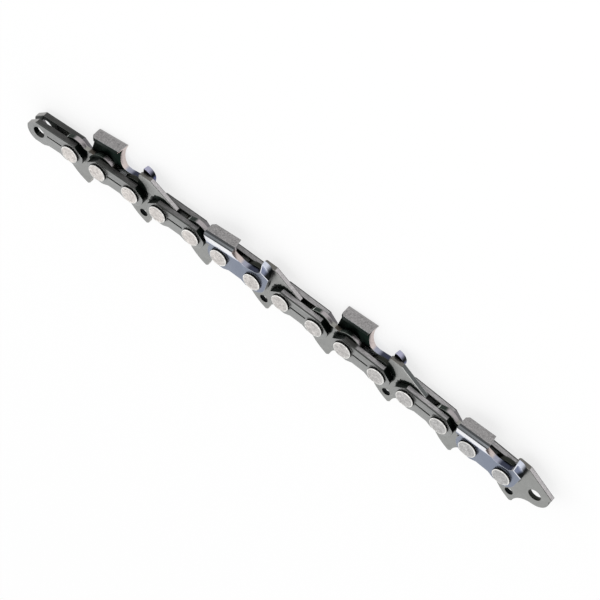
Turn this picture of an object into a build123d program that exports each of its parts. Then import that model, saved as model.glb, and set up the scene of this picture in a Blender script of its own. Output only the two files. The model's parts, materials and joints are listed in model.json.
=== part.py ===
"""Length of low-profile saw chain: eight pairs of side links and eight drive links on fifteen rivets.

Millimetres. X runs along the chain the way it travels, Y points to the cutting side, Z along the rivets.
The origin is the open rear rivet hole, midway between the two side links. The chain lies on its left side.
"""

import os
from math import acos, asin, atan2, cos, degrees, hypot, pi, radians, sin, tan

from build123d import *

# Chain layout
side_pitch = 10.04        # between the two rivets of a side link
drive_pitch = 8.60        # between the two rivets of a drive link
link_pairs = 8            # each pair of side links is followed by one drive link
bow_angle = 0.8           # turn at each rivet at rest, degrees, towards the tangs

# Thicknesses and clearances, along the rivets
drive_thickness = 1.27
side_thickness = 1.45
side_play = 0.05          # between a drive link and each side link
head_height = 0.75        # on the right-hand side
left_head_height = 0.42
rivet_fit = 0.02          # radial, rivet in side link
hinge_clearance = 0.05    # radial, rivet in drive link
flare_clearance = 0.08    # cutter flare above the rear rivet head

# Rivets
shank_radius = 1.65
head_radius = 2.50        # on the right-hand side
left_head_radius = 2.30
head_sides = 18           # flats round a rivet head
seat_sides = 8            # flats round a hole that a rivet head covers

# Side links
side_end_radius = 3.65
side_top = 3.00           # straight top edge of a tie strap, above the rivets
shoulder_reach = 1.00     # that edge runs this far past each rivet
cheek_angle = 12.0        # where a strap's slanted shoulder meets its round end, degrees
foot_angle = 75.0         # where a side link's round end turns into its flat foot, degrees
arch_height = 2.75        # lower edge midway, below the rivets
arch_half_width = 1.80
foot_inset = 1.60         # inner end of each foot, from its rivet

# Cutters
top_plate_front = -0.70   # outer working corner, from the middle of the link
top_plate_rear = -9.50
top_plate_height = 8.70   # at the working corner, above the rivets
top_plate_thickness = 1.30
flare_angle = 21.0        # outward lean of the side plate below the top plate, degrees
top_plate_inner = 0.15    # inner edge of the top plate, from the mid-plane
relief_angle = 6.5        # fall of the top plate to the rear, degrees
top_plate_angle = 8.0     # sweep of the ground front face, degrees
undercut_angle = 15.0     # backward lean of the ground front face under the working edge, degrees
rear_corner_cut = 0.75    # slant across the inner rear corner of the top plate
outer_corner_radius = 0.90
outer_corner_flats = 3
flare_root = 0.60         # straight stretch of side plate below the flare
flare_front = 1.40        # front end of the flared side plate
gullet_floor = 3.00       # above the rivets
gullet_radius = 3.60      # hook from the front face to the floor
gullet_ramp_end = 5.40    # the floor rises from the hook to here
gullet_ramp_rise = 0.60
gauge_rear = 6.40         # steep rear edge of the depth gauge, at the outer face
gauge_foot = 1.60         # foot of that edge above the gullet floor
gauge_top = 8.05
gauge_flat = 0.60
gauge_nose_reach = 9.15   # foremost point of the gauge, from the middle of the link
gauge_nose_height = 5.20
gauge_bulge_reach = 8.45  # a point of the round between the gauge's top and its nose
gauge_bulge_height = 7.25

# Drive links
drive_end_radius = 3.90
drive_top = 2.60          # straight top edge of a plain drive link, above the rivets
toe_reach = 0.20          # tip of the tang, ahead of the middle of the link
toe_depth = 9.20          # and below the rivets
toe_height = 0.55
heel_reach = 4.45         # a point of the tang's rear edge, behind the middle of the link
heel_depth = 6.40
heel_angle = 205.0        # where the heel leaves the rear round, degrees
scoop_reach = 5.60        # middle of the scoop in the tang's front edge
scoop_depth = 8.60
tang_hole_radius = 1.10
tang_hole_sides = 16
tang_hole_set_back = 1.00 # behind the middle of the link
tang_hole_depth = 6.10

# Bumper on every second drive link
bumper_rear = -3.60
bumper_top = 7.05
bumper_flat_end = 0.00
ramp_tip_reach = 8.30
ramp_tip_top = 2.75
ramp_tip_height = 0.90
ramp_tip_lean = 0.15
ramp_root_angle = 22.0    # where the ramp's underside meets the front round, degrees
bumper_corner = 0.45

# Worked out from the values above
side_half = side_pitch / 2
drive_half = drive_pitch / 2
side_rear, side_front = (-side_half, 0), (side_half, 0)
drive_rear, drive_front = (-drive_half, 0), (drive_half, 0)
side_inner = drive_thickness / 2 + side_play
side_outer = side_inner + side_thickness
head_face = side_outer + head_height
gauge_nose = (gauge_nose_reach, gauge_nose_height)
gauge_bulge = (gauge_bulge_reach, gauge_bulge_height)
tang_toe = (toe_reach, -toe_depth)
heel_point = (-heel_reach, -heel_depth)
scoop_centre = (scoop_reach, -scoop_depth)
tang_hole_place = (-tang_hole_set_back, -tang_hole_depth)
ramp_tip = (ramp_tip_reach, ramp_tip_top)
side_hole_radius = shank_radius + rivet_fit
drive_hole_radius = shank_radius + hinge_clearance
relief_slope = tan(radians(relief_angle))
flare_slope = tan(radians(flare_angle))
sweep_slope = tan(radians(top_plate_angle))
undercut_slope = tan(radians(undercut_angle))
left, right = -1, 1
cutter_hand = {2: left, 4: right, 6: left, 8: right}

os.makedirs("parts", exist_ok=True)


def heading(link):
    """Direction of a link in degrees; links count from 0, side links even and drive links odd."""
    return bow_angle * (link_pairs - 0.5 - link)


def rivet_place(number):
    """Centre of a rivet in the XY plane, stepping along the bowed chain from the origin."""
    x = y = 0.0
    for link in range(number):
        pitch = drive_pitch if link % 2 else side_pitch
        x += pitch * cos(radians(heading(link)))
        y += pitch * sin(radians(heading(link)))
    return x, y


def along(link):
    """Unit vector from a link's rear rivet to its front rivet."""
    return Vector(cos(radians(heading(link))), sin(radians(heading(link))), 0)


def link_plane(link, height):
    """Plane of a link's outline, its origin midway between the link's two rivets."""
    rear, front = rivet_place(link), rivet_place(link + 1)
    middle = ((rear[0] + front[0]) / 2, (rear[1] + front[1]) / 2, height)
    return Plane(origin=middle, x_dir=along(link), z_dir=(0, 0, 1))


def on_round(centre, radius, angle):
    """Point of a circle at an angle in degrees."""
    return centre[0] + radius * cos(radians(angle)), centre[1] + radius * sin(radians(angle))


def round_edge(centre, radius, first, last):
    """Arc of an outline from one angle to another, in degrees."""
    middle = (first + last) / 2
    ThreePointArc(*(on_round(centre, radius, angle) for angle in (first, middle, last)))


def side_layer(hand):
    """Lower face of a side link's plate, on the left (below) or on the right (above)."""
    return side_inner if hand == right else -side_outer


def feet():
    """Lower edge of a side link: a flat foot under each rivet and an arch between them."""
    front_foot = on_round(side_front, side_end_radius, -foot_angle)
    corners = [front_foot, (side_half - foot_inset, front_foot[1]), (arch_half_width, -arch_height)]
    Polyline(*corners, *((-x, y) for x, y in reversed(corners)))


def seat_holes(link):
    """Rivet holes of a side link; the one at the open end is round and the covered ones have flats."""
    covered = [side_front] if link == 0 else [side_rear, side_front]
    with Locations(*covered):
        RegularPolygon(side_hole_radius / cos(pi / seat_sides), seat_sides, mode=Mode.SUBTRACT)
    if link == 0:
        with Locations(side_rear):
            Circle(side_hole_radius, mode=Mode.SUBTRACT)


def strap_outline():
    front_cheek = on_round(side_front, side_end_radius, cheek_angle)
    shoulder = (side_half + shoulder_reach, side_top)
    with BuildLine() as outline:
        round_edge(side_front, side_end_radius, cheek_angle, -foot_angle)
        feet()
        round_edge(side_rear, side_end_radius, 180 + foot_angle, 180 - cheek_angle)
        Polyline((-front_cheek[0], front_cheek[1]), (-shoulder[0], shoulder[1]), shoulder, front_cheek)
    make_face(outline.edges())


def flare_height(x):
    """Height of the line where a cutter's side plate starts to flare, clear of the rear rivet head."""
    at_rivet = (head_radius + flare_clearance) / cos(radians(relief_angle))
    return at_rivet + relief_slope * (x + side_half)


def cutter_plate_outline():
    """Flat part of a cutter: strap feet, flare line and depth gauge; the gullet is ground out later."""
    flare_distance = flare_height(-side_half) * cos(radians(relief_angle))
    flare_meets = 90 + relief_angle + degrees(acos(flare_distance / side_end_radius))
    flare_rear = on_round(side_rear, side_end_radius, flare_meets)
    gauge_crest = (gauge_rear + gauge_flat, gauge_top)
    with BuildLine() as outline:
        feet()
        round_edge(side_rear, side_end_radius, 180 + foot_angle, flare_meets)
        Polyline(
            flare_rear,
            (flare_front, flare_height(flare_front)),
            (gauge_rear - gauge_flat, gauge_top),
            gauge_crest,
        )
        ThreePointArc(gauge_crest, gauge_bulge, gauge_nose)
        Line(gauge_nose, on_round(side_front, side_end_radius, 0))
        round_edge(side_front, side_end_radius, 0, -foot_angle)
    make_face(outline.edges())


def flare_section():
    """Bent section of a cutter's side plate and top plate; x is outward and y is up from the flare line."""
    rise = top_plate_height - flare_height(top_plate_front)
    round_y = rise - outer_corner_radius
    round_x = side_outer + round_y * flare_slope - outer_corner_radius * hypot(1, flare_slope)
    turn = (90 + flare_angle) / outer_corner_flats
    corner = [
        on_round((round_x, round_y), outer_corner_radius, turn * step - flare_angle)
        for step in range(outer_corner_flats + 1)
    ]
    skin = side_thickness * hypot(1, flare_slope)
    bend = (skin - side_thickness) / flare_slope
    underside = rise - top_plate_thickness
    throat = side_outer + underside * flare_slope - skin
    with BuildLine() as outline:
        Polyline(
            (side_outer, -flare_root),
            (side_outer, 0),
            *corner,
            (top_plate_inner, rise),
            (top_plate_inner, underside),
            (throat, underside),
            (side_inner, bend),
            (side_inner, -flare_root),
            close=True,
        )
    make_face(outline.edges())


def gullet_outline():
    """Ground opening from the hooked cutting face to the depth gauge, at the side plate's outer face."""
    overhang = (top_plate_height - flare_height(top_plate_front)) * flare_slope
    corner_x = top_plate_front - overhang * sweep_slope
    over = top_plate_height + 2 * top_plate_thickness
    hook_foot = corner_x - (top_plate_height - gullet_floor) * undercut_slope
    hook_reach = gullet_radius * tan(radians(45 + undercut_angle / 2))
    hook_centre = (hook_foot + hook_reach, gullet_floor + gullet_radius)
    with BuildLine() as outline:
        Line((corner_x + (over - top_plate_height) * undercut_slope, over),
             on_round(hook_centre, gullet_radius, 180 - undercut_angle))
        round_edge(hook_centre, gullet_radius, 180 - undercut_angle, 270)
        Polyline(
            on_round(hook_centre, gullet_radius, 270),
            (gullet_ramp_end, gullet_floor + gullet_ramp_rise),
            (gauge_rear, gullet_floor + gauge_foot),
            (gauge_rear, over),
            (corner_x + (over - top_plate_height) * undercut_slope, over),
        )
    make_face(outline.edges())


def tang_edge(front_angle):
    """Front round, scoop, toe and heel of a drive link, from an angle on its front round."""
    lean = degrees(atan2(scoop_centre[1], scoop_centre[0] - drive_half))
    scoop_radius = hypot(scoop_centre[0] - drive_half, scoop_centre[1]) - drive_end_radius
    toe_angle = 180 - degrees(asin((tang_toe[1] + toe_height - scoop_centre[1]) / scoop_radius))
    round_edge(drive_front, drive_end_radius, front_angle, lean)
    round_edge(scoop_centre, scoop_radius, lean + 180, toe_angle)
    Line(on_round(scoop_centre, scoop_radius, toe_angle), tang_toe)
    ThreePointArc(tang_toe, heel_point, on_round(drive_rear, drive_end_radius, heel_angle))


def plain_drive_outline():
    top_angle = degrees(asin(drive_top / drive_end_radius))
    with BuildLine() as outline:
        tang_edge(top_angle)
        round_edge(drive_rear, drive_end_radius, heel_angle, 180 - top_angle)
        Line(
            on_round(drive_rear, drive_end_radius, 180 - top_angle),
            on_round(drive_front, drive_end_radius, top_angle),
        )
    make_face(outline.edges())


def bumper_drive_outline():
    rear_angle = degrees(acos((bumper_rear + drive_half) / drive_end_radius))
    with BuildLine() as outline:
        tang_edge(ramp_root_angle)
        round_edge(drive_rear, drive_end_radius, heel_angle, rear_angle)
        Polyline(
            on_round(drive_rear, drive_end_radius, rear_angle),
            (bumper_rear, bumper_top - bumper_corner),
            (bumper_rear + bumper_corner, bumper_top),
            (bumper_flat_end, bumper_top),
            ramp_tip,
            (ramp_tip[0] - ramp_tip_lean, ramp_tip[1] - ramp_tip_height),
            on_round(drive_front, drive_end_radius, ramp_root_angle),
        )
    make_face(outline.edges())


def save(part, name):
    part.label = name
    export_step(part, f"parts/{name}.step")


# Side links, a left-hand and a right-hand one in each pair
for pair in range(1, link_pairs + 1):
    link = 2 * (pair - 1)
    for hand, hand_name in ((left, "left"), (right, "right")):
        if cutter_hand.get(pair) == hand:
            with BuildPart() as cutter:
                with BuildSketch(link_plane(link, side_layer(hand))):
                    cutter_plate_outline()
                    seat_holes(link)
                extrude(amount=side_thickness)
                forward = along(link)
                upward = Vector(-forward.Y, forward.X, 0)
                rear_height = flare_height(top_plate_rear)
                rear_place = link_plane(link, 0).from_local_coords((top_plate_rear, rear_height, 0))
                with BuildSketch(Plane(origin=rear_place, x_dir=(0, 0, hand), z_dir=forward * -hand)):
                    flare_section()
                extrude(
                    amount=(flare_front - top_plate_rear) / cos(radians(relief_angle)),
                    dir=forward * cos(radians(relief_angle)) + upward * sin(radians(relief_angle)),
                )
                rear_top = top_plate_height - relief_slope * (top_plate_front - top_plate_rear)
                inner_rear = link_plane(link, hand * top_plate_inner).from_local_coords(
                    (top_plate_rear, rear_top - top_plate_thickness / 2, 0)
                )
                chamfer(cutter.edges().sort_by_distance(inner_rear)[:1], rear_corner_cut)
                with BuildSketch(link_plane(link, hand * side_outer)):
                    gullet_outline()
                sweep = radians(top_plate_angle)
                extrude(
                    amount=2 * head_face,
                    dir=forward * sin(sweep) + Vector(0, 0, hand) * cos(sweep),
                    both=True,
                    mode=Mode.SUBTRACT,
                )
            save(cutter.part, f"{hand_name}_cutter_{pair}")
        else:
            with BuildPart() as strap:
                with BuildSketch(link_plane(link, side_layer(hand))):
                    strap_outline()
                    seat_holes(link)
                extrude(amount=side_thickness)
            save(strap.part, f"{hand_name}_tie_strap_{pair}")

# Drive links, plain and bumper by turns
for pair in range(1, link_pairs + 1):
    link = 2 * pair - 1
    bumper = pair % 2 == 0
    with BuildPart() as drive:
        with BuildSketch(link_plane(link, -drive_thickness / 2)):
            if bumper:
                bumper_drive_outline()
                with Locations(tang_hole_place):
                    RegularPolygon(tang_hole_radius, tang_hole_sides, mode=Mode.SUBTRACT)
            else:
                plain_drive_outline()
            with Locations(drive_rear, drive_front):
                Circle(drive_hole_radius, mode=Mode.SUBTRACT)
        extrude(amount=drive_thickness)
    save(drive.part, f"{'bumper' if bumper else 'drive'}_link_{pair}")

# Rivets, a round shank with a head at each end
for number in range(1, 2 * link_pairs):
    place = rivet_place(number)
    with BuildPart() as rivet:
        with BuildSketch(Plane(origin=(*place, -side_outer))):
            Circle(shank_radius)
        extrude(amount=2 * side_outer)
        heads = ((left, left_head_radius, left_head_height), (right, head_radius, head_height))
        for hand, radius, height in heads:
            with BuildSketch(Plane(origin=(*place, hand * side_outer))):
                RegularPolygon(radius, head_sides)
            extrude(amount=hand * height)
    save(rivet.part, f"rivet_{number}")
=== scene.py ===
import json
import math

import bmesh
import bpy
from mathutils import Matrix, Vector


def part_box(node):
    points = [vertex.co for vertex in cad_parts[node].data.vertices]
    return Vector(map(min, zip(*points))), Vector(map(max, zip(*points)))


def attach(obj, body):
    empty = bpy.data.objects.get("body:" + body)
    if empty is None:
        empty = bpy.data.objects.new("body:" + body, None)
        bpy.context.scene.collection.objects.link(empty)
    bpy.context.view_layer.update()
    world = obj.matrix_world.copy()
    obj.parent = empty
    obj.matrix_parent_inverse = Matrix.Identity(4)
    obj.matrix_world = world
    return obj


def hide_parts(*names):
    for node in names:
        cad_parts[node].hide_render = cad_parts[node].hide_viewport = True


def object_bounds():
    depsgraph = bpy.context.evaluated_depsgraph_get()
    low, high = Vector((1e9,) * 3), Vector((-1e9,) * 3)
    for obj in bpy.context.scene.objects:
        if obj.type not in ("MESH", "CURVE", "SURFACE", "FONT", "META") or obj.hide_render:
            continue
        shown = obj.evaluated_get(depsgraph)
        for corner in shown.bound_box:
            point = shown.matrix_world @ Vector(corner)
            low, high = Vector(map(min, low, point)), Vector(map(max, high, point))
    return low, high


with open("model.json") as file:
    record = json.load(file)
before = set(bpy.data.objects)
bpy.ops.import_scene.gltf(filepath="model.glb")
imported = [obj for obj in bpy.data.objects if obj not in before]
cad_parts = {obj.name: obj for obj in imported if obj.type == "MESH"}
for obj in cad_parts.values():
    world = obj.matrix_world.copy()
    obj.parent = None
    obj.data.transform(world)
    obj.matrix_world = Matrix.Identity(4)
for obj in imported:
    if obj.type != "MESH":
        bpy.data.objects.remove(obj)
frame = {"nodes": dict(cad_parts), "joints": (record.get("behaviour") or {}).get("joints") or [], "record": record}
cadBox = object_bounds()
scene = bpy.context.scene
mm = 0.001

# rivet centres along the chain, from the hinges and the two open holes
mounts = {m["name"]: m for m in frame["record"]["mounts"]}
hinges = {int(j["name"].split("_")[1]): Vector(j["pos_m"]) for j in frame["joints"]}
rivetPlaces = [Vector(mounts["rear_hole"]["pos_m"])]
rivetPlaces += [hinges[number] for number in sorted(hinges)]
rivetPlaces.append(Vector(mounts["front_hole"]["pos_m"]))
pairCount = len(rivetPlaces) // 2
sideHalf = (rivetPlaces[1] - rivetPlaces[0]).length / 2  # half the rivet distance in a side link
driveHalf = (rivetPlaces[2] - rivetPlaces[1]).length / 2  # and in a drive link
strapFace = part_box("right_tie_strap_3")[1].z  # height of the near straps' outer faces


def linkFrame(link):  # a link's middle and heading; side links are even and drive links odd
    rear, front = rivetPlaces[link], rivetPlaces[link + 1]
    return (rear + front) / 2, math.atan2(front.y - rear.y, front.x - rear.x)


def tone(red, green, blue):  # a screen colour from 0 to 255, made linear
    parts = [c / 255 for c in (red, green, blue)]
    return tuple(c / 12.92 if c < 0.04045 else ((c + 0.055) / 1.055) ** 2.4 for c in parts) + (1.0,)


class Sock:  # a shader socket; an expression on it adds Math nodes
    def __init__(self, socket):
        self.socket = socket

    @classmethod
    def make(cls, tree, kind, settings=None, values=None, out=0):
        node = tree.nodes.new(kind)
        for name, value in (settings or {}).items():
            setattr(node, name, value)
        for key, value in (values or {}).items():
            if isinstance(value, Sock):
                tree.links.new(value.socket, node.inputs[key])
            else:
                node.inputs[key].default_value = value
        return cls(node.outputs[out])

    def node(self, kind, settings=None, values=None, out=0):
        return Sock.make(self.socket.id_data, kind, settings, values, out)

    def math(self, operation, *terms):
        return self.node("ShaderNodeMath", {"operation": operation}, dict(enumerate(terms or (self,))))

    def __add__(self, other):
        return self.math("ADD", self, other)

    __radd__ = __add__

    def __sub__(self, other):
        return self.math("SUBTRACT", self, other)

    def __rsub__(self, other):
        return self.math("SUBTRACT", other, self)

    def __mul__(self, other):
        return self.math("MULTIPLY", self, other)

    __rmul__ = __mul__

    def over(self, edge, soft=0.05):  # 0 below the edge and 1 above it
        stops = {"Value": self, "From Min": edge - soft, "From Max": edge + soft}
        return self.node("ShaderNodeMapRange", {"interpolation_type": "SMOOTHSTEP"}, stops)

    def under(self, edge, soft=0.05):
        return 1 - self.over(edge, soft)

    def within(self, low, high, soft=0.05):
        return self.over(low, soft) * self.under(high, soft)

    def size(self):
        return self.math("ABSOLUTE")

    def either(self, other):  # the stronger of two masks
        return self.math("MAXIMUM", self, other)

    def lay(self, under, colour):  # this mask lays one colour over another
        return self.node("ShaderNodeMix", {"data_type": "RGBA"}, {0: self, 6: under, 7: colour}, 2)

    def split(self):  # a vector's three parts
        node = self.node("ShaderNodeSeparateXYZ", None, {0: self}).socket.node
        return [Sock(output) for output in node.outputs]


reliefLook = {"Distance": 0.01 * mm, "Strength": 0.6}  # the same fine bump on every finish


def startMetal(name, metallic=1.0):
    material = bpy.data.materials.new(name)
    material.use_nodes = True
    tree = material.node_tree
    shader = tree.nodes["Principled BSDF"]
    shader.inputs["Metallic"].default_value = metallic
    parts = []
    for attribute in ("place", "facing"):  # the link's own millimetres, and the face's own direction
        parts.append(Sock.make(tree, "ShaderNodeAttribute", {"attribute_name": attribute}, out=1).split())
    objectPlace = Sock.make(tree, "ShaderNodeTexCoord", out=3)
    return material, shader, *parts, objectPlace


def flag(material, name):  # a link's own yes or no
    return Sock.make(material.node_tree, "ShaderNodeAttribute", {"attribute_name": name}, out=2)


def grain(objectPlace, perMetre, detail, stretch=None):  # noise from 0 to 1 on object coordinates
    where = objectPlace
    if stretch:
        where = where.node("ShaderNodeMapping", None, {"Vector": where, "Scale": stretch})
    return where.node("ShaderNodeTexNoise", None, {"Vector": where, "Scale": perMetre, "Detail": detail})


def uneven(level, *layers):  # a level swung up and down by noises, each with its share
    for noise, share in layers:
        level = level + share * (noise - 0.5)
    return level


def shaded(colour, amount):  # a colour made lighter or darker by a value about 1
    grey = amount.node("ShaderNodeCombineColor", None, {0: amount, 1: amount, 2: amount})
    settings = {"data_type": "RGBA", "blend_type": "MULTIPLY"}
    return amount.node("ShaderNodeMix", settings, {0: 1.0, 6: colour, 7: grey}, 2)


def reachFrom(place, centre, radii=(1.0, 1.0)):  # squared distance in the link's plane, in these radii
    across, up = ((place[i] - centre[i]) * (1 / radii[i]) for i in (0, 1))
    return across * across + up * up


def riseOver(place, point, slope):  # height over a sloping line through a point
    return place[1] - (point[1] + slope * (place[0] - point[0]))


def finishMetal(shader, colour, roughness, bump, metallic=None):
    relief = bump.node("ShaderNodeBump", None, {"Height": bump, **reliefLook})
    looks = {"Base Color": colour, "Roughness": roughness, "Normal": relief, "Metallic": metallic}
    for label, value in looks.items():
        if value is not None:
            shader.id_data.links.new(value.socket, shader.inputs[label])


# In each look below, a noise is its count per metre, its detail and its stretch, and a share is how far it
# swings the tone. A limit is where a tone starts or ends, with its softness: facing runs from -1 to 1, and
# places are millimetres in the link's own frame.

# tie straps: satin rolled plate
strapLook = {
    "bevel": 0.15 * mm,
    "grooveSize": {"Length": 4.5 * mm, "Height": 0.40 * mm, "Depth": 0.18 * mm, "Corner": 0.15 * mm},
    "grooveSteps": 5,
    "groovePlace": (-0.2, 0.36),
    "grooveMargin": 0.02,
    "face": tone(151, 152, 151),
    "topEdge": tone(153, 151, 152),
    "topRearDark": tone(54, 54, 53),
    "topShade": tone(62, 62, 60),
    "topLine": tone(66, 68, 66),
    "roundingShade": tone(84, 86, 84),
    "lowerEdgeHighlight": tone(186, 188, 184),
    "cutEdge": tone(150, 151, 149),
    "rearEnd": tone(150, 149, 147),
    "rearShade": tone(22, 28, 25),
    "nearEndShade": tone(17, 23, 20),
    "farEndHighlight": tone(126, 123, 126),
    "inside": tone(26, 32, 29),
    "insideFront": tone(64, 68, 60),
    "groove": tone(14, 16, 15),
    "mottle": (900.0, 3.0),
    "mottleShare": 0.24,
    "brush": (2200.0, 2.0, (0.15, 1.0, 1.0)),
    "brushShare": 0.16,
    "speckle": (3000.0, 2.0, (0.25, 1.0, 1.5)),
    "speckleShare": 1.6,
    "faceFall": 0.04,  # the face darkens upwards by this much a millimetre
    "roughness": 0.42,
    "roughnessShare": 0.16,
    "edgeDullness": 0.65,  # sheared edges lose this much of the metal's shine
    "flatFacing": 0.96,
    "edgeFacing": 0.25,
    "facingSoft": 0.02,
    "endFacing": 0.7,
    "topFacing": 0.85,
    "upFacing": 0.3,
    "downFacing": -0.2,
    "frontFacing": 0.2,
    "rearFacing": -0.15,
    "rearFoot": (-0.5, 0.3),
    "topShadeEnd": (-2.4, 0.3),
    "topLineSide": (1.84, 0.04),
    "topLineFoot": (2.8, 0.03),
    "insideFrontStart": (0.8, 0.8),
    "grooveFacing": -0.5,
    "grooveSoft": 0.03,
    "darkTopsEnd": (0.05, 0.035),  # in metres along the chain: the tops are darker behind it
}


def strapSteel():
    look = strapLook
    material, shader, place, facing, objectPlace = startMetal("strapSteel")
    covered, besideCutter = flag(material, "covered"), flag(material, "besideCutter")
    mottle, brushed, speckle = (grain(objectPlace, *look[name]) for name in ("mottle", "brush", "speckle"))
    along = objectPlace.split()[0]
    near = place[2].over(0.0, 0.1)
    outward = facing[2] * place[2].math("SIGN")
    flat, edge, soft = look["flatFacing"], look["edgeFacing"], look["facingSoft"]
    onFace = outward.over(flat, soft)
    endOn = outward.size().under(look["endFacing"])
    rounding = outward.within(edge, flat, soft)
    insideRounding = outward.within(-flat, -edge, soft)
    # the top, with painted shade on the upper roundings and a painted highlight on the lower ones
    top = facing[1].over(look["topFacing"]) * outward.size().under(edge)
    topTone = along.over(*look["darkTopsEnd"]).lay(look["topRearDark"], look["topEdge"])
    topTone = (near * besideCutter * place[0].under(*look["topShadeEnd"])).lay(topTone, look["topShade"])
    colour = top.lay(look["cutEdge"], topTone)
    colour = (rounding * facing[1].over(look["upFacing"])).lay(colour, look["roundingShade"])
    colour = (rounding * facing[1].under(look["downFacing"])).lay(colour, look["lowerEdgeHighlight"])
    # the two ends, with painted shade on the near ones and a painted highlight on the far front ends
    frontEnd = facing[0].over(look["frontFacing"]) * endOn
    colour = frontEnd.lay(colour, near.lay(look["farEndHighlight"], look["nearEndShade"]))
    rearEnd = facing[0].under(look["rearFacing"]) * endOn * place[1].over(*look["rearFoot"])
    colour = rearEnd.lay(colour, (near * covered).lay(look["rearEnd"], look["rearShade"]))
    # the outer and inner faces, the inner ones with painted dark reflection, lighter towards the front
    colour = onFace.lay(colour, look["face"])
    colour = (insideRounding * facing[1].over(look["upFacing"])).lay(colour, look["roundingShade"])
    topLine = place[2].size().over(*look["topLineSide"]) * place[1].over(*look["topLineFoot"])
    colour = topLine.lay(colour, look["topLine"])
    insideTone = place[0].over(*look["insideFrontStart"]).lay(look["inside"], look["insideFront"])
    colour = outward.under(-flat, soft).lay(colour, insideTone)
    # the groove painted dark as shade, with a little of the face round it
    x, y = look["groovePlace"]
    halfX, halfY = (look["grooveSize"][key] / mm / 2 + look["grooveMargin"] for key in ("Length", "Height"))
    inGroove = place[0].within(x - halfX, x + halfX)
    inGroove = inGroove * place[1].within(y - halfY, y + halfY, look["grooveSoft"])
    colour = (inGroove * outward.over(look["grooveFacing"])).lay(colour, look["groove"])
    layers = ((mottle, look["mottleShare"]), (brushed, look["brushShare"]),
              (speckle, top * look["speckleShare"]))
    amount = uneven(1.0, *layers) - onFace * place[1] * look["faceFall"]
    metallic = 1 - look["edgeDullness"] * top.either(rearEnd)
    roughness = uneven(look["roughness"], (brushed, look["roughnessShare"]))
    finishMetal(shader, shaded(colour, amount), roughness, brushed, metallic)
    return material


# drive links: grey, with painted shade where they run under the straps
driveLook = {
    "bevel": 0.12 * mm,
    "topSteps": 47,  # cuts along a plain link's top, for its rounds
    "dullRamps": ("bumper_link_6",),
    "face": tone(151, 152, 150),
    "underShade": tone(25, 32, 28),
    "tangEdge": tone(165, 163, 159),
    "upperEdgeShade": tone(46, 48, 44),
    "saddleRear": tone(152, 151, 146),
    "saddleFront": tone(84, 79, 73),
    "ramp": tone(184, 181, 182),
    "rampLine": tone(44, 45, 44),
    "dullRamp": tone(98, 101, 101),
    "dullLine": tone(186, 188, 186),
    "hump": tone(110, 108, 104),
    "holeShade": tone(26, 29, 30),
    "roundLight": tone(172, 166, 168),
    "roundDark": tone(50, 57, 53),
    "roundEdgeHighlight": tone(126, 130, 126),
    "roundGlint": tone(196, 200, 196),
    "mottle": (900.0, 3.0),
    "mottleShare": 0.22,
    "brush": (2000.0, 2.0, (1.0, 0.2, 1.0)),
    "brushShare": 0.14,
    "speckle": (3400.0, 2.0),
    "speckleShare": 1.0,
    "ragged": (1500.0, 4.0),
    "raggedShare": 0.6,
    "roughness": 0.40,
    "roughnessShare": 0.16,
    "flatFacing": 0.9,
    "frontShadeRadii": (4.1, 4.1),
    "frontShadeFoot": (-1.7, 0.4),
    "frontShadeSoft": 0.03,
    "rearShadePlace": (-4.6, 1.2),
    "rearShadeRadii": (4.3, 4.4),
    "rearShadeFoot": (-1.2, 0.3),
    "rearShadeSoft": 0.06,
    "upperEdgeSpan": (-2.0, 4.3, 0.2),
    "holePlace": (-1.0, -6.1),
    "holeReach": (1.9, 0.2),
    "rampFacing": 0.4,
    "rampRear": (-0.3, 0.05),
    "rampSpan": (2.65, 7.3),
    "rampLineSide": (0.5, 0.03),
    "humpFront": (-0.1, 0.05),
    "humpFoot": (6.4, 0.1),
    "plainTopFoot": (2.4, 0.1),
    "saddleMiddle": (-0.1, 0.2),
    "roundFoot": (2.68, 0.03),
    "roundTilt": (0.1, 0.12),
    "rearTilt": 0.2,
    "roundLineFacing": (0.25, 0.03),
    "glintFacing": (-0.68, -0.6, 0.02),
}


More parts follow.
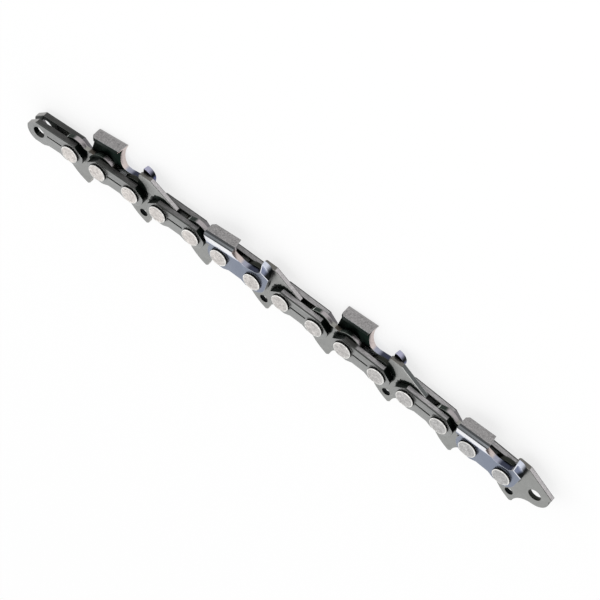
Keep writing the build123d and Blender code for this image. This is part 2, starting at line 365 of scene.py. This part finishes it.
def driveSteel():
    look = driveLook
    material, shader, place, facing, objectPlace = startMetal("driveSteel")
    covered, ramped, dull = (flag(material, name) for name in ("covered", "ramped", "dull"))
    mottle, brushed, speckle = (grain(objectPlace, *look[name]) for name in ("mottle", "brush", "speckle"))
    ragged = grain(objectPlace, *look["ragged"])
    flat = facing[2].size().over(look["flatFacing"])
    rim = 1 - flat
    rearHalf = place[0].under(0.0)
    # painted shade on the faces: ragged round the front rivet, smooth under the strap behind
    frontReach = reachFrom(place, (driveHalf / mm, 0.0), look["frontShadeRadii"])
    frontShade = uneven(frontReach, (ragged, look["raggedShare"])).under(1.0, look["frontShadeSoft"])
    frontShade = frontShade * place[1].over(*look["frontShadeFoot"]) * covered
    rearShade = reachFrom(place, look["rearShadePlace"], look["rearShadeRadii"]).under(1.0, look["rearShadeSoft"])
    rearShade = rearShade * place[1].over(*look["rearShadeFoot"])
    colour = flat.lay(look["tangEdge"], look["face"])
    colour = (flat * frontShade.either(rearShade)).lay(colour, look["underShade"])
    # painted shade on the upper edge, deep between the straps
    colour = (rim * place[1].within(*look["upperEdgeSpan"])).lay(colour, look["upperEdgeShade"])
    # painted shade on the hole's wall
    inHole = rim * reachFrom(place, look["holePlace"]).under(*look["holeReach"])
    colour = inHole.lay(colour, look["holeShade"])
    # the bumper's ramp and the hump behind it
    onRamp = ramped * rim * facing[1].over(look["rampFacing"])
    onRamp = onRamp * place[0].over(*look["rampRear"]) * place[1].within(*look["rampSpan"])
    rampLine = place[2].size().over(*look["rampLineSide"])
    rampTone = rampLine.lay(look["ramp"], look["rampLine"])
    rampTone = dull.lay(rampTone, rampLine.lay(look["dullRamp"], look["dullLine"]))
    colour = onRamp.lay(colour, rampTone)
    onHump = rim * place[0].under(*look["humpFront"]) * place[1].over(*look["humpFoot"])
    colour = onHump.lay(colour, look["hump"])
    # a plain link's saddle and its two rounds, with painted light on their front slopes
    plainTop = (1 - ramped) * rim * place[1].over(*look["plainTopFoot"])
    saddleTone = place[0].over(*look["saddleMiddle"]).lay(look["saddleRear"], look["saddleFront"])
    colour = plainTop.lay(colour, saddleTone)
    # painted shade on the rounds' rear slopes, painted highlights on their edges and a painted glint
    tilt = facing[0] + look["rearTilt"] * rearHalf
    roundTone = tilt.over(*look["roundTilt"]).lay(look["roundDark"], look["roundLight"])
    roundTone = facing[2].size().over(*look["roundLineFacing"]).lay(roundTone, look["roundEdgeHighlight"])
    glint = facing[0].within(*look["glintFacing"]) * rearHalf
    roundTone = glint.lay(roundTone, look["roundGlint"])
    colour = (plainTop * place[1].over(*look["roundFoot"])).lay(colour, roundTone)
    layers = ((mottle, look["mottleShare"]), (brushed, look["brushShare"]),
              (speckle, onRamp * look["speckleShare"]))
    roughness = uneven(look["roughness"], (brushed, look["roughnessShare"]))
    finishMetal(shader, shaded(colour, uneven(1.0, *layers)), roughness, brushed)
    return material


# rivets: pale spun heads
rivetLook = {
    "turns": 64,
    "pathRadius": 0.1 * mm,
    "sharpAngle": math.radians(50),
    "shankPlay": 0.05,  # this and the head's sizes below are in millimetres
    "foot": (0.05, 0.08),  # in from the edge, and up as a share of the head's height
    "rimSteps": ((0.0, 0.30), (0.05, 0.14), (0.14, 0.03), (0.24, 0.0)),  # in, and down as a share of it
    "rimWidth": 0.42,
    "dish": 0.09,
    "dishSlope": (0.5, 0.2),  # a share of the dish at the rim's inner edge, and the slope's width
    "pip": ((0.7, 1.0), (0.5, 0.8), (0.0, 0.75)),  # the raised middle: radius, and share of the dish
    "metallic": 0.75,
    "rearFace": tone(208, 203, 199),
    "frontFace": tone(175, 175, 175),
    "rim": tone(222, 221, 218),
    "wall": tone(10, 12, 11),
    "mottle": (1300.0, 4.0),
    "mottleShare": 1.1,
    "pits": (3600.0, 2.0),
    "pitsShare": 1.1,
    "ringPitch": 14.0,  # radians of a ring per millimetre
    "ringShare": 0.05,
    "roughness": 0.52,
    "roughnessShare": 0.2,
    "flatFacing": (0.55, 0.1),
    "rimStart": (2.16, 0.05),
    "frontStart": (0.09, 0.07),  # in metres along the chain: the faces darken past it
}


def rivetSteel():
    look = rivetLook
    material, shader, place, facing, objectPlace = startMetal("rivetSteel", look["metallic"])
    mottle, pits = (grain(objectPlace, *look[name]) for name in ("mottle", "pits"))
    along = objectPlace.split()[0]
    away = reachFrom(place, (0.0, 0.0)).math("SQRT")
    rings = (away * look["ringPitch"]).math("SINE")
    flat = facing[2].size().over(*look["flatFacing"])
    face = along.over(*look["frontStart"]).lay(look["rearFace"], look["frontFace"])
    # a painted highlight on the rim
    colour = (away.over(*look["rimStart"]) * flat).lay(face, look["rim"])
    # painted shade on the head's side wall
    colour = (1 - flat).lay(colour, look["wall"])
    amount = uneven(1.0, (mottle, look["mottleShare"]), (pits, look["pitsShare"]))
    amount = amount + look["ringShare"] * rings
    roughness = uneven(look["roughness"], (mottle, look["roughnessShare"]))
    finishMetal(shader, shaded(colour, amount), roughness, rings)
    return material


# cutters: hard chrome outside, ground in the hook
cutterLook = {
    "bevel": 0.12 * mm,
    "side": tone(137, 144, 159),
    "flare": tone(240, 241, 245),
    "flareFoot": tone(212, 216, 230),
    "cornerLow": tone(58, 62, 66),
    "cornerMiddle": tone(112, 115, 118),
    "cornerHigh": tone(78, 80, 82),
    "top": tone(158, 156, 156),
    "edge": tone(168, 170, 172),
    "inside": tone(22, 32, 28),
    "insideFront": tone(70, 75, 68),
    "ground": tone(214, 201, 197),
    "hookFoot": tone(162, 165, 181),
    "gullet": tone(60, 64, 80),
    "gaugeFace": tone(120, 128, 152),
    "gaugeShine": tone(216, 221, 234),
    "gaugeDark": tone(14, 18, 20),
    "gaugeTop": tone(176, 176, 198),
    "gaugeTopLine": tone(92, 92, 110),
    "gaugeFoot": tone(92, 98, 136),
    "crease": tone(238, 240, 246),
    "fine": (3000.0, 2.0),
    "fineShare": 1.5,
    "mottle": (700.0, 3.0),
    "mottleShare": 0.12,
    "level": 0.96,
    "roughness": 0.35,
    "roughnessShare": 0.1,
    "topRoughness": 0.2,  # the top plate is rougher by this much
    "dullness": 0.85,  # the flare and the low inside lose this much of the metal's shine
    "flatFacing": (0.96, 0.02),
    "edgeFacing": 0.6,
    "flareLine": ((-sideHalf / mm, 2.6), 0.114),  # a point and a slope
    "flareFacing": (0.8, 0.965, 0.02),
    "flareDown": (-0.7, -0.15),
    "flareStart": -0.05,
    "flareFade": (0.7, 0.6),
    "cornerStart": (3.9, 0.2),
    "cornerFacing": (0.08, 0.03),
    "cornerFront": 1.0,
    "cornerSpan": (-0.2, 0.975, 0.01),
    "cornerMiddleFacing": (0.25, 0.1),
    "cornerHighFacing": (0.8, 0.08),
    "topFacing": (0.975, 0.01),
    "topFoot": (6.5, 0.2),
    "topFront": 0.8,
    "insideFacing": -0.6,
    "insideFoot": (2.4, 0.2),
    "lowInsideStart": (0.4, 0.6),
    "lowInsideTop": (3.6, 0.4),
    "hookSpan": (-2.6, 6.1),
    "hookHeight": (2.6, 8.3),
    "hookUp": -0.6,
    "hookFacing": 0.05,
    "hookFront": 1.5,
    "hookBlend": (0.5, 0.4),
    "hookFootStart": (0.9, 0.5),
    "gulletStart": (2.7, 0.7),
    "creaseLine": ((6.17, 4.97), -0.373),  # a point and a slope
    "creaseSpan": (-0.12, 0.2, 0.05),
    "creaseRear": 6.1,
    "creaseFacing": 0.9,
    "rearLineSpan": (6.3, 6.65),
    "gaugeRear": (6.05, 0.05),
    "shineSlope": (0.6, 0.8),
    "shineStart": (10.6, 0.9),
    "darkLean": 0.25,
    "darkStart": (7.5, 0.5),
    "topLineFacing": (0.2, 0.15),
    "noseFacing": (0.55, 0.25),
    "footFacing": (0.93, 0.04),
}


def cutterChrome():
    look = cutterLook
    material, shader, place, facing, objectPlace = startMetal("cutterChrome")
    fine, mottle = (grain(objectPlace, *look[name]) for name in ("fine", "mottle"))
    near = place[2].over(0.0, 0.1)
    outward = facing[2] * place[2].math("SIGN")
    edgeOn = outward.size().under(look["edgeFacing"])
    colour = outward.over(*look["flatFacing"]).lay(look["edge"], look["side"])
    # the flare with a painted highlight, the folded corner with painted reflection bands, and the top plate
    flareRise = riseOver(place, *look["flareLine"])
    flare = outward.within(*look["flareFacing"]) * facing[1].within(*look["flareDown"])
    flare = flare * flareRise.over(look["flareStart"])
    colour = flare.lay(colour, flareRise.over(*look["flareFade"]).lay(look["flareFoot"], look["flare"]))
    corner = flareRise.over(*look["cornerStart"]) * outward.over(*look["cornerFacing"])
    corner = corner * place[0].under(look["cornerFront"]) * facing[1].within(*look["cornerSpan"])
    cornerTone = facing[1].over(*look["cornerMiddleFacing"]).lay(look["cornerLow"], look["cornerMiddle"])
    cornerTone = facing[1].over(*look["cornerHighFacing"]).lay(cornerTone, look["cornerHigh"])
    colour = corner.lay(colour, near.lay(look["top"], cornerTone))
    onTop = facing[1].over(*look["topFacing"]) * place[1].over(*look["topFoot"])
    onTop = onTop * place[0].under(look["topFront"])
    colour = onTop.lay(colour, look["top"])
    # the inside with painted dark reflection, and the ground hook that runs down into the gullet
    inside = outward.under(look["insideFacing"]) * place[1].over(*look["insideFoot"])
    lowInside = inside * place[0].over(*look["lowInsideStart"]) * place[1].under(*look["lowInsideTop"])
    colour = inside.lay(colour, lowInside.lay(look["inside"], look["insideFront"]))
    hook = edgeOn * place[0].within(*look["hookSpan"]) * place[1].within(*look["hookHeight"])
    hook = hook * facing[1].over(look["hookUp"]) * (1 - onTop)
    hookStart = facing[0].over(look["hookFacing"]) + place[0].over(look["hookFront"])
    # the hook's foot and the gullet in tones of painted reflection
    hookTone = place[0].over(*look["hookFootStart"]).lay(look["ground"], look["hookFoot"])
    hookTone = place[0].over(*look["gulletStart"]).lay(hookTone, look["gullet"])
    colour = (hook * hookStart.over(*look["hookBlend"])).lay(colour, hookTone)
    # the depth gauge over its crease: a face with a painted highlight and painted shade forwards, and its edge
    creaseRise = riseOver(place, *look["creaseLine"])
    gauge = place[0].over(*look["gaugeRear"]) * creaseRise.over(0.0)
    shineX, shineY = look["shineSlope"]
    shine = (place[0] * shineX + place[1] * shineY).over(*look["shineStart"])
    gaugeTone = shine.lay(look["gaugeFace"], look["gaugeShine"])
    darkFront = (place[0] - look["darkLean"] * creaseRise).over(*look["darkStart"])
    gaugeTone = darkFront.lay(gaugeTone, look["gaugeDark"])
    # the edge painted light and dark by facing
    gaugeTop = outward.over(*look["topLineFacing"]).lay(look["gaugeTop"], look["gaugeTopLine"])
    gaugeTop = near.lay(gaugeTop, look["gaugeShine"])
    gaugeTop = facing[0].over(*look["noseFacing"]).lay(gaugeTop, look["gaugeDark"])
    gaugeTop = (facing[0].over(*look["footFacing"]) * (1 - near)).lay(gaugeTop, look["gaugeFoot"])
    gaugeTone = edgeOn.lay(gaugeTone, gaugeTop)
    gaugeTone = inside.lay(gaugeTone, look["gaugeDark"])
    colour = gauge.lay(colour, gaugeTone)
    # painted highlight lines along the crease and the gauge's rear edge
    outerSide = outward.over(look["creaseFacing"])
    crease = place[0].over(look["creaseRear"]) * creaseRise.within(*look["creaseSpan"])
    rearLine = place[0].within(*look["rearLineSpan"]) * creaseRise.over(0.0)
    colour = (crease.either(rearLine) * outerSide).lay(colour, look["crease"])
    amount = uneven(look["level"], (mottle, look["mottleShare"]), (fine, onTop * look["fineShare"]))
    roughness = uneven(look["roughness"], (mottle, look["roughnessShare"])) + look["topRoughness"] * onTop
    metallic = 1 - look["dullness"] * flare.either(lowInside)
    finishMetal(shader, shaded(colour, amount), roughness, fine, metallic)
    return material


finishes = {
    "strap_steel": strapSteel(),
    "drive_steel": driveSteel(),
    "rivet_steel": rivetSteel(),
    "cutter_chrome": cutterChrome(),
}
print("finishes:", ", ".join(finishes))

meshLook = {
    "joinGap": 0.0005 * mm,
    "flatAngle": math.radians(0.5),  # faces that turn by less are one flat face
    "bevelAngle": math.radians(28),  # edges that turn by more are rounded
    "bevelSegments": 2,
    "tolerance": 0.01 * mm,  # corners this close to the highest one are level with it
}


def applied(obj):  # the modifiers' result as a plain mesh, with the modifiers gone
    result = bpy.data.meshes.new_from_object(obj.evaluated_get(bpy.context.evaluated_depsgraph_get()))
    obj.modifiers.clear()
    obj.data = result


def newObject(name, data):
    obj = bpy.data.objects.new(name, data)
    scene.collection.objects.link(obj)
    return obj


def joinFlats(mesh):  # joins doubled corners and makes each flat face whole
    work = bmesh.new()
    work.from_mesh(mesh)
    bmesh.ops.remove_doubles(work, verts=work.verts, dist=meshLook["joinGap"])
    bmesh.ops.dissolve_limit(work, angle_limit=meshLook["flatAngle"], verts=work.verts, edges=work.edges)
    work.to_mesh(mesh)
    work.free()


def mergedCopy(node):
    mesh = frame["nodes"][node].data.copy()
    mesh.materials.clear()
    joinFlats(mesh)
    return mesh


def smooth(obj):
    for polygon in obj.data.polygons:
        polygon.use_smooth = True


def roundEdges(obj, width):
    bevel = obj.modifiers.new("softEdges", "BEVEL")
    bevel.width = width
    bevel.segments = meshLook["bevelSegments"]
    bevel.limit_method = "ANGLE"
    bevel.angle_limit = meshLook["bevelAngle"]
    bevel.harden_normals = True
    smooth(obj)
    applied(obj)


def dress(obj, body, slot, *nodes):
    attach(obj, body)
    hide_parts(*nodes)


def newTree(name, inputs):  # a geometry tree with named inputs, and helpers that add to it and close it
    tree = bpy.data.node_groups.new(name, "GeometryNodeTree")
    tree.interface.new_socket("Geometry", in_out="INPUT", socket_type="NodeSocketGeometry")
    for label, kind in inputs:
        tree.interface.new_socket(label, in_out="INPUT", socket_type="NodeSocket" + kind)
    tree.interface.new_socket("Geometry", in_out="OUTPUT", socket_type="NodeSocketGeometry")
    source = tree.nodes.new("NodeGroupInput")
    sink = tree.nodes.new("NodeGroupOutput")

    def add(kind, settings=None, values=None):
        node = tree.nodes.new(kind)
        for key, value in (settings or {}).items():
            setattr(node, key, value)
        for key, value in (values or {}).items():
            for given in value if isinstance(value, list) else [value]:
                if isinstance(given, bpy.types.NodeSocket):
                    tree.links.new(given, node.inputs[key])
                else:
                    node.inputs[key].default_value = given
        return node.outputs[0]

    def close(geometry, finish):  # every tree ends in plain geometry with its finish
        whole = add("GeometryNodeRealizeInstances", None, {"Geometry": geometry})
        ready = add("GeometryNodeSetMaterial", None, {"Geometry": whole, "Material": finish})
        tree.links.new(ready, sink.inputs[0])
        return tree

    return source.outputs, add, close


def addMarks(add, geometry, middle, turn):  # writes a point's own millimetres and a face's own direction
    position = add("GeometryNodeInputPosition")
    normal = add("GeometryNodeInputNormal").node.outputs["True Normal"]
    spin = {"rotation_type": "Z_AXIS", "invert": True}
    shift = add("ShaderNodeVectorMath", {"operation": "SUBTRACT"}, {0: position, 1: middle})
    own = add("ShaderNodeVectorRotate", spin, {"Vector": shift, "Angle": turn})
    own = add("ShaderNodeVectorMath", {"operation": "SCALE"}, {0: own, "Scale": 1 / mm})
    way = add("ShaderNodeVectorRotate", spin, {"Vector": normal, "Angle": turn})
    for name, domain, value in (("place", "POINT", own), ("facing", "FACE", way)):
        settings = {"data_type": "FLOAT_VECTOR", "domain": domain}
        geometry = add("GeometryNodeStoreNamedAttribute", settings,
                       {"Geometry": geometry, "Name": name, "Value": value})
    return geometry


def useTree(obj, tree, values):  # inputs are set by identifier before the object is first evaluated
    modifier = obj.modifiers.new(tree.name, "NODES")
    modifier.node_group = tree
    inputs = [item for item in tree.interface.items_tree if item.in_out == "INPUT"]
    identifiers = {item.name: item.identifier for item in inputs}
    for label, value in values.items():
        modifier[identifiers[label]] = value
    applied(obj)


def linkTree():  # marks a link in its own frame and gives it its finish
    flags = ("covered", "besideCutter", "ramped", "dull")
    inputs = [("Middle", "Vector"), ("Turn", "Float"), ("Finish", "Material")]
    given, add, close = newTree("finishedLink", inputs + [(name, "Float") for name in flags])
    marked = addMarks(add, given["Geometry"], given["Middle"], given["Turn"])
    for name in flags:
        marked = add("GeometryNodeStoreNamedAttribute", {"data_type": "FLOAT", "domain": "FACE"},
                     {"Geometry": marked, "Name": name, "Value": given[name]})
    return close(marked, given["Finish"])


def grooveTree():  # cuts a short rounded groove into a strap's outer face
    inputs = [(label, "Float") for label in ("Length", "Height", "Depth", "Corner", "Turn")]
    inputs += [("Corner Steps", "Int"), ("Place", "Vector"), ("Finish", "Material")]
    given, add, close = newTree("strapGroove", inputs)
    outline = add("GeometryNodeCurvePrimitiveQuadrilateral", None,
                  {"Width": given["Length"], "Height": given["Height"]})
    outline = add("GeometryNodeFilletCurve", {"mode": "POLY"},
                  {"Curve": outline, "Radius": given["Corner"], "Count": given["Corner Steps"]})
    lower = add("GeometryNodeFillCurve", {"mode": "NGONS"}, {"Curve": outline})
    # a block twice as deep as the groove, half of it above the face
    double = add("ShaderNodeMath", {"operation": "MULTIPLY"}, {0: given["Depth"], 1: 2.0})
    raised = add("GeometryNodeExtrudeMesh", None,
                 {"Mesh": lower, "Offset Scale": double, "Individual": False})
    turned = add("GeometryNodeFlipFaces", None, {"Mesh": lower})
    block = add("GeometryNodeJoinGeometry", None, {"Geometry": [raised, turned]})
    block = add("GeometryNodeMergeByDistance", None, {"Geometry": block, "Distance": meshLook["joinGap"]})
    sink = add("ShaderNodeMath", {"operation": "MULTIPLY"}, {0: given["Depth"], 1: -1.0})
    centred = add("GeometryNodeTransform", None,
                  {"Geometry": block, "Translation": add("ShaderNodeCombineXYZ", None, {"Z": sink})})
    placed = add("GeometryNodeTransform", None,
                 {"Geometry": centred, "Translation": given["Place"],
                  "Rotation": add("ShaderNodeCombineXYZ", None, {"Z": given["Turn"]})})
    cut = add("GeometryNodeMeshBoolean", {"operation": "DIFFERENCE", "solver": "EXACT"},
              {0: given["Geometry"], 1: placed})
    return close(cut, given["Finish"])


def rivetTree():  # turns the given half profile and sets a copy at each place
    inputs = [("Rear Place", "Vector"), ("Front Place", "Vector"), ("Count", "Int")]
    inputs += [("Turns", "Int"), ("Path Radius", "Float"), ("Finish", "Material")]
    given, add, close = newTree("spunRivets", inputs)
    profile = add("GeometryNodeMeshToCurve", None, {"Mesh": given["Geometry"]})
    path = add("GeometryNodeCurvePrimitiveCircle", None,
               {"Resolution": given["Turns"], "Radius": given["Path Radius"]})
    turned = add("GeometryNodeCurveToMesh", None, {"Curve": path, "Profile Curve": profile})
    turned = add("GeometryNodeMergeByDistance", None, {"Geometry": turned, "Distance": meshLook["joinGap"]})
    marked = addMarks(add, turned, (0.0, 0.0, 0.0), 0.0)
    ends = {"Start Location": given["Rear Place"], "Offset": given["Front Place"]}
    places = add("GeometryNodeMeshLine", {"mode": "END_POINTS"}, {"Count": given["Count"], **ends})
    rivets = add("GeometryNodeInstanceOnPoints", None, {"Points": places, "Instance": marked})
    return close(rivets, given["Finish"])


linkFinisher, grooveCutter, rivetSpinner = linkTree(), grooveTree(), rivetTree()


def headHalf(node, centre, hand):  # one half of a rivet from its middle to the centre of its head
    look = rivetLook
    corners = [v.co for v in frame["nodes"][node].data.vertices]
    face = max(hand * c.z for c in corners)
    ring = [(c - centre).xy.length for c in corners if hand * c.z > face - meshLook["tolerance"]]
    radius, face, seat = max(ring) / mm, face / mm, strapFace / mm
    height = face - seat
    footIn, footUp = look["foot"]
    slopeShare, slopeWidth = look["dishSlope"]
    inner = radius - look["rimWidth"]
    half = [(mounts["front_hole"]["dims"]["r_mm"] - look["shankPlay"], seat)]
    half += [(radius - footIn, seat), (radius, seat + footUp * height)]
    half += [(radius - inset, face - share * height) for inset, share in look["rimSteps"]]
    half += [(inner, face - slopeShare * look["dish"]), (inner - slopeWidth, face - look["dish"])]
    half += [(pipRadius, face - share * look["dish"]) for pipRadius, share in look["pip"]]
    return [(r, hand * z) for r, z in half]


def spinRivets(pair):
    numbers = [n for n in (2 * pair - 2, 2 * pair - 1) if 0 < n < len(rivetPlaces) - 1]
    nodes = ["rivet_%d" % n for n in numbers]
    places = [rivetPlaces[n] for n in numbers]
    upper, lower = (headHalf(nodes[0], places[0], hand) for hand in (1, -1))
    radius = rivetLook["pathRadius"]
    points = [(r * mm - radius, -z * mm, 0) for r, z in upper[::-1] + lower]
    mesh = bpy.data.meshes.new("rivetProfile")
    mesh.from_pydata(points, [(i, i + 1) for i in range(len(points) - 1)], [])
    obj = newObject("rivets_%d" % pair, mesh)
    useTree(obj, rivetSpinner, {"Rear Place": places[0], "Front Place": places[-1], "Count": len(places),
                                "Turns": rivetLook["turns"], "Path Radius": radius,
                                "Finish": finishes["rivet_steel"]})
    smooth(obj)
    obj.data.set_sharp_from_angle(angle=rivetLook["sharpAngle"])
    dress(obj, "link_%d" % pair, "rivet_steel", *nodes)


def cutGroove(obj, node, link):
    middle, turn = linkFrame(link)
    across = Vector((*strapLook["groovePlace"], 0)) * mm
    across.rotate(Matrix.Rotation(turn, 3, "Z"))
    centre = middle + across
    low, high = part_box(node)
    centre.z = high.z if "right" in node else low.z
    useTree(obj, grooveCutter, {"Place": centre, "Turn": turn, "Finish": finishes["strap_steel"],
                                "Corner Steps": strapLook["grooveSteps"], **strapLook["grooveSize"]})
    joinFlats(obj.data)


def raiseRounds(obj, link):  # rounds a plain drive link's flat top up over its two rivets
    middle, turn = linkFrame(link)
    toLink = Matrix.Rotation(-turn, 4, "Z") @ Matrix.Translation(-middle)
    work = bmesh.new()
    work.from_mesh(obj.data)
    work.transform(toLink)
    flatTop = max(vert.co.y for vert in work.verts)
    radius = max(vert.co.x for vert in work.verts) - driveHalf

    def onTop(vert):
        return vert.co.y > flatTop - meshLook["tolerance"]

    topEdges = [e for e in work.edges if all(map(onTop, e.verts)) and e.calc_length() > 2 * driveHalf]
    bmesh.ops.subdivide_edges(work, edges=topEdges, cuts=driveLook["topSteps"], use_grid_fill=True)
    for vert in filter(onTop, work.verts):
        away = min(radius, abs(abs(vert.co.x) - driveHalf))
        vert.co.y = max(flatTop, math.sqrt(radius ** 2 - away ** 2))
    work.transform(toLink.inverted())
    work.to_mesh(obj.data)
    work.free()


def makeLink(node, link, body, slot, look):
    obj = newObject(node + "_finished", mergedCopy(node))
    middle, turn = linkFrame(link)
    if "tie_strap" in node:
        cutGroove(obj, node, link)
    if node.startswith("drive"):
        raiseRounds(obj, link)
    roundEdges(obj, look["bevel"])
    partner = node.replace("right_tie_strap", "left_cutter")
    flags = {
        "covered": 0 < link < len(rivetPlaces) - 2,  # the end links run out past the others
        "besideCutter": partner != node and partner in frame["nodes"],
        "ramped": node.startswith("bumper"),
        "dull": node in driveLook["dullRamps"],
    }
    useTree(obj, linkFinisher, {"Middle": middle, "Turn": turn, "Finish": finishes[slot],
                                **{name: float(given) for name, given in flags.items()}})
    dress(obj, body, slot, node)


for pair in range(1, pairCount + 1):
    body = "link_%d" % pair
    for hand in ("left", "right"):
        if "%s_cutter_%d" % (hand, pair) in frame["nodes"]:
            makeLink("%s_cutter_%d" % (hand, pair), 2 * pair - 2, body, "cutter_chrome", cutterLook)
        else:
            makeLink("%s_tie_strap_%d" % (hand, pair), 2 * pair - 2, body, "strap_steel", strapLook)
    drive = "drive_link_%d" % pair if pair % 2 else "bumper_link_%d" % pair
    makeLink(drive, 2 * pair - 1, "drive_%d" % pair, "drive_steel", driveLook)
    spinRivets(pair)
    print("pair %d: two side links, a drive link and its rivets" % pair)

# white floor under the chain, soft light and the camera
stageLook = {
    "floorColour": (0.93, 0.93, 0.93, 1.0),
    "floorHalf": 3.0,
    "floorGap": 0.02 * mm,
    "shadowShare": 0.25,
    "worldLight": 0.85,
    "key": {"offset": (0.3, 0.9, 1.2), "size": 1.2, "power": 6.0},
    "fill": {"offset": (-0.9, -0.4, 0.9), "size": 0.8, "power": 1.5},
}


def seesWhite(tree):  # camera, glossy and transmission rays see the plain white
    outputs = Sock.make(tree, "ShaderNodeLightPath").socket.node.outputs
    seen = Sock(outputs["Is Camera Ray"])
    for label in ("Is Glossy Ray", "Is Transmission Ray"):
        seen = seen.either(Sock(outputs[label]))
    return seen


def buildFloor():
    half = stageLook["floorHalf"]
    height = cadBox[0].z - stageLook["floorGap"]
    mesh = bpy.data.meshes.new("floor")
    corners = [(-half, -half, height), (half, -half, height), (half, half, height), (-half, half, height)]
    mesh.from_pydata(corners, [], [(0, 1, 2, 3)])
    floor = newObject("floor", mesh)
    material = bpy.data.materials.new("whiteFloor")
    material.use_nodes = True
    tree = material.node_tree
    tree.nodes.remove(tree.nodes["Principled BSDF"])
    matt = Sock.make(tree, "ShaderNodeBsdfDiffuse", None, {"Color": stageLook["floorColour"]})
    glow = Sock.make(tree, "ShaderNodeEmission", None, {"Strength": 1.0})
    share = seesWhite(tree) * (1 - stageLook["shadowShare"])
    mixed = Sock.make(tree, "ShaderNodeMixShader", None, {0: share, 1: matt, 2: glow})
    tree.links.new(mixed.socket, tree.nodes["Material Output"].inputs["Surface"])
    mesh.materials.append(material)


def buildWorld():
    world = bpy.data.worlds.new("studio")
    scene.world = world
    world.use_nodes = True
    tree = world.node_tree
    background = tree.nodes["Background"]
    level = stageLook["worldLight"] + (1 - stageLook["worldLight"]) * seesWhite(tree)
    tree.links.new(level.socket, background.inputs["Strength"])
    background.inputs["Color"].default_value = (1, 1, 1, 1)


def addLamp(name):  # an area lamp that looks at the chain's middle
    look = stageLook[name]
    data = bpy.data.lights.new(name, "AREA")
    data.size = look["size"]
    data.energy = look["power"]
    lamp = newObject(name, data)
    offset = Vector(look["offset"])
    lamp.location = (cadBox[0] + cadBox[1]) / 2 + offset
    lamp.rotation_mode = "QUATERNION"
    lamp.rotation_quaternion = (-offset).to_track_quat("-Z", "Y")


cameraLook = {
    "right": Vector((0.7821, 0.1588, -0.6025)),
    "up": Vector((-0.5820, 0.5314, -0.6155)),
    "offRight": 3.1402 * mm,
    "offUp": -0.9136 * mm,
    "distance": 632.46 * mm,
    "lens": 161.2,
    "sensor": 36.0,
    "clip": (0.01, 20.0),
}


def buildCamera():  # looks past the chain's middle rivet
    look = cameraLook
    right = look["right"].normalized()
    up = (look["up"] - right * look["up"].dot(right)).normalized()
    back = right.cross(up)
    place = rivetPlaces[pairCount] + right * look["offRight"] + up * look["offUp"] + back * look["distance"]
    data = bpy.data.cameras.new("camera")
    data.lens = look["lens"]
    data.sensor_width = look["sensor"]
    data.clip_start, data.clip_end = look["clip"]
    camera = newObject("camera", data)
    camera.matrix_world = Matrix.Translation(place) @ Matrix((right, up, back)).transposed().to_4x4()
    scene.camera = camera


buildFloor()
buildWorld()
addLamp("key")
addLamp("fill")
buildCamera()
scene.view_settings.view_transform = "Standard"
print("stage: floor, world, two lamps and camera")
